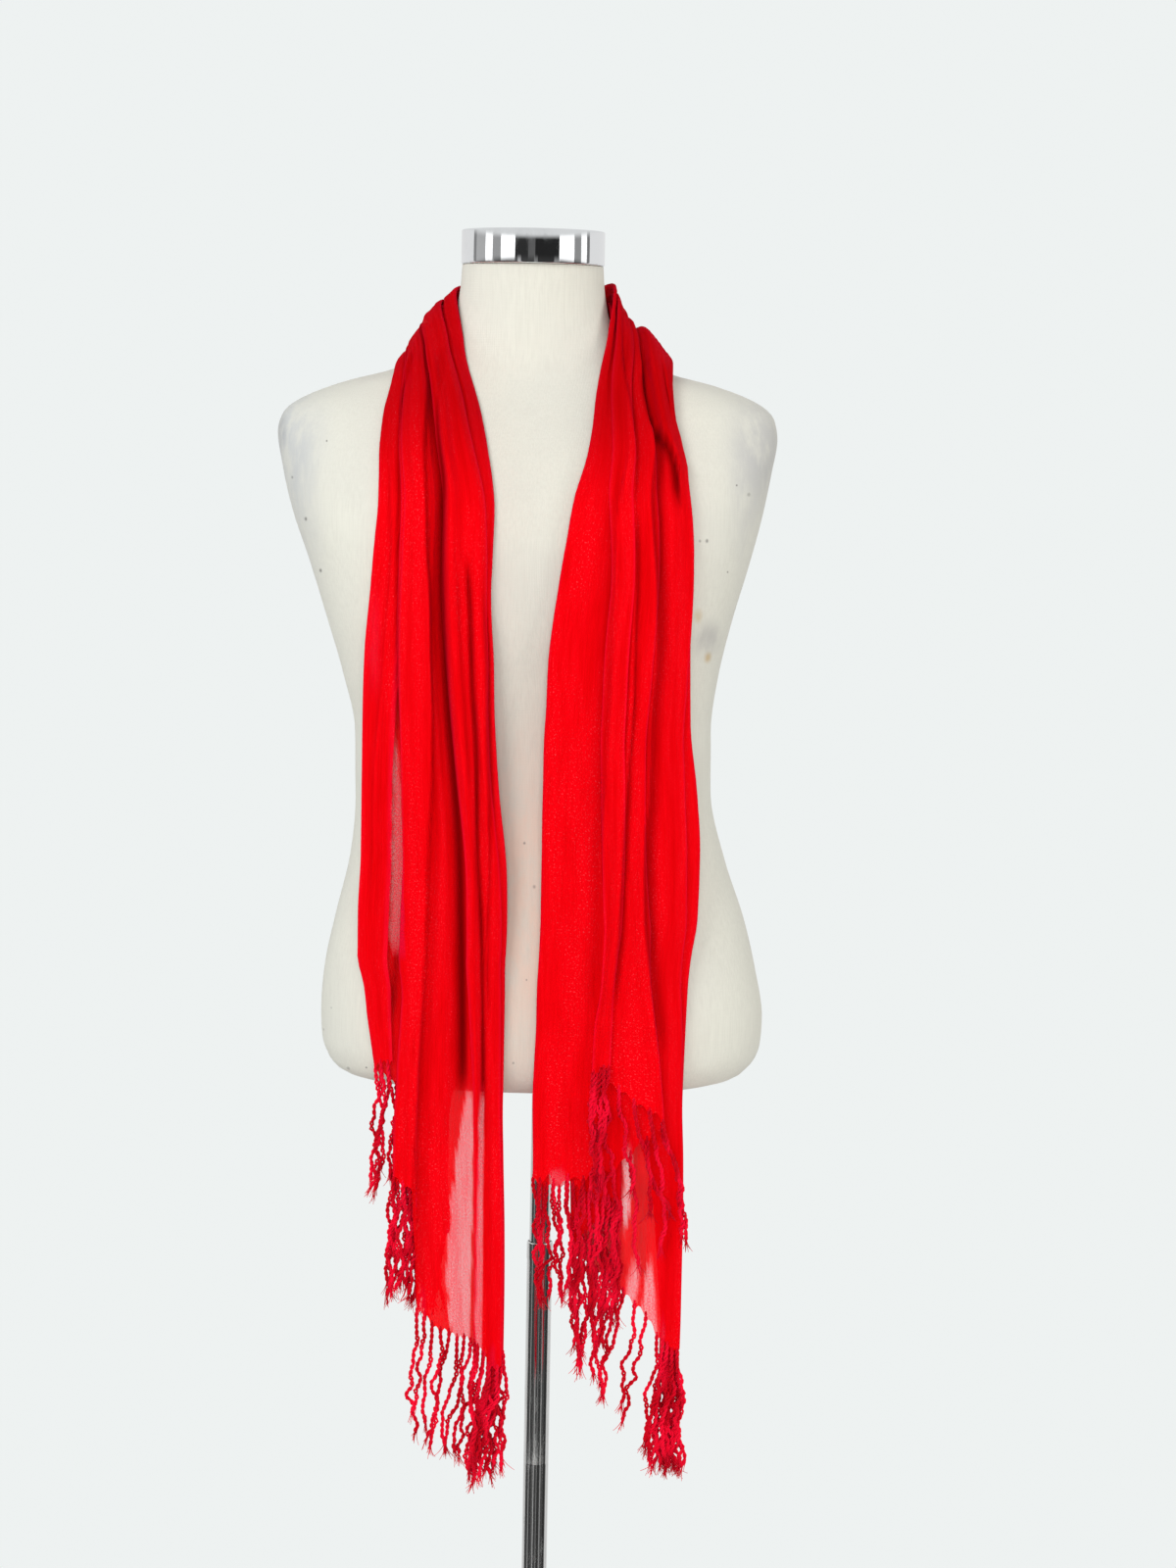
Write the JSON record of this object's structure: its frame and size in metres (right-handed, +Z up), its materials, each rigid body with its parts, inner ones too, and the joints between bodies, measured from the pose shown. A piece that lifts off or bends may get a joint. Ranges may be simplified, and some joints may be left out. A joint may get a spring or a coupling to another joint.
{
  "type": "pashmina scarf on dress form stand",
  "caption": "Plain red fringed pashmina scarf hung open round the neck of an off-white limbless dress form on a bright pole with a round base.",
  "frame": {"origin": "centre of the base plate's underside, on the pole's axis", "axes": "+Z up the pole, -Y towards the front where the scarf's ends hang, +X to the viewer's right"},
  "size_m": [0.434, 0.35, 1.4838],
  "materials": {
    "scarf_left_cloth": "matte",
    "scarf_neck_cloth": "matte",
    "scarf_right_cloth": "matte",
    "fringe_left_yarn": "matte",
    "fringe_right_yarn": "matte",
    "form_cover": "matte",
    "cap_metal": "polished",
    "inner_tube_metal": "polished",
    "outer_tube_metal": "polished",
    "base_metal": "polished"
  },
  "bodies": {
    "root": {"scarf_left": "scarf_left_cloth", "scarf_neck": "scarf_neck_cloth", "scarf_right": "scarf_right_cloth", "fringe_left": "fringe_left_yarn", "fringe_right": "fringe_right_yarn", "dress_form_torso": "form_cover", "neck_cap": "cap_metal", "pole_inner": "inner_tube_metal", "pole_outer": "outer_tube_metal", "base_plate": "base_metal"}
  },
  "joints": []
}
